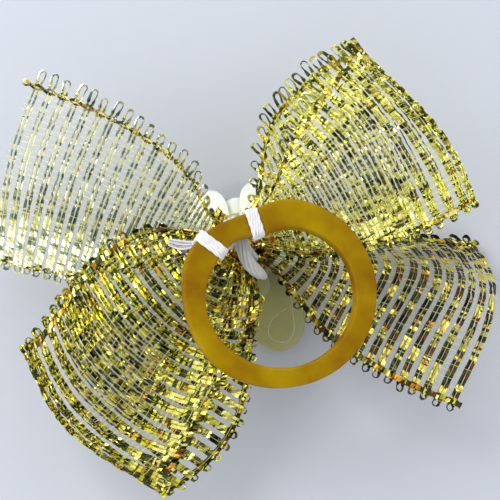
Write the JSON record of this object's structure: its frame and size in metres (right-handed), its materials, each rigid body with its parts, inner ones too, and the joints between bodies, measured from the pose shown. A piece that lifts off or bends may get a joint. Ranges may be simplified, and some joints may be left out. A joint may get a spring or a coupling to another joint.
{
  "type": "hair bow",
  "caption": "Small double-loop bow of gold mesh ribbon with cut tails, bound with white thread, a frosted flower on its front and a latex hair band on its back.",
  "frame": {"origin": "middle of the bow's bounding box, on the plane its flower rests on", "axes": "+Z from the flower on the front up to the band on the back, +X towards the right loop and tail, +Y towards the upper loop"},
  "size_m": [0.0414, 0.0388, 0.0134],
  "materials": {
    "gold_mesh": "open weave of bright gold metallic yarn",
    "gold_tape": "flat gold metallic tapes woven into the selvage",
    "white_thread": "soft multi-strand thread",
    "amber_latex": "waxy, slightly see-through",
    "frosted_plastic": "frosted, milky",
    "hot_melt_glue": "waxy, clear to milky"
  },
  "bodies": {
    "centre": {"loop_gather": "gold_mesh", "tail_gather": "gold_mesh", "centre_binding": "white_thread", "lashing_strand": "white_thread", "binding_knot": "white_thread", "thread_end_right": "white_thread", "thread_end_left": "white_thread", "flower_outer_petals": "frosted_plastic", "flower_inner_petals": "frosted_plastic", "flower_bead": "frosted_plastic", "hot_melt_pad": "hot_melt_glue"},
    "band": {"latex_band": "amber_latex", "band_lashing_left": "white_thread", "band_lashing_right": "white_thread"},
    "loop_upper_right": {"loop_upper_right_ribbon": "gold_mesh", "loop_upper_right_selvages": "gold_tape"},
    "loop_lower_left": {"loop_lower_left_ribbon": "gold_mesh", "loop_lower_left_selvages": "gold_tape"},
    "tail_upper_left": {"tail_upper_left_ribbon": "gold_mesh", "tail_upper_left_selvages": "gold_tape"},
    "tail_lower_right": {"tail_lower_right_ribbon": "gold_mesh", "tail_lower_right_selvages": "gold_tape"}
  },
  "joints": [
    {"name": "band_flip", "type": "hinge", "parent": "centre", "child": "band", "pos_m": [-0.00072, 0.00337, 0.0102], "axis": [-0.7803, -0.6097, 0.1392], "range_deg": [0, 95]},
    {"name": "loop_upper_right_flex", "type": "hinge", "parent": "centre", "child": "loop_upper_right", "pos_m": [0.00256, 0.00401, 0.0073], "axis": [0.5299, -0.848, 0], "range_deg": [-12, 3], "stiffness_Nm_per_rad": 0.002},
    {"name": "loop_lower_left_flex", "type": "hinge", "parent": "centre", "child": "loop_lower_left", "pos_m": [-0.00187, 0.00009, 0.0073], "axis": [-0.7771, 0.6293, 0], "range_deg": [-12, 5], "stiffness_Nm_per_rad": 0.002},
    {"name": "tail_upper_left_flex", "type": "hinge", "parent": "centre", "child": "tail_upper_left", "pos_m": [-0.00283, 0.00335, 0.0057], "axis": [0.309, 0.9511, 0], "range_deg": [-6, 8], "stiffness_Nm_per_rad": 0.002},
    {"name": "tail_lower_right_flex", "type": "hinge", "parent": "centre", "child": "tail_lower_right", "pos_m": [0.00286, 0.00144, 0.0057], "axis": [-0.3256, -0.9455, 0], "range_deg": [-6, 8], "stiffness_Nm_per_rad": 0.002}
  ]
}
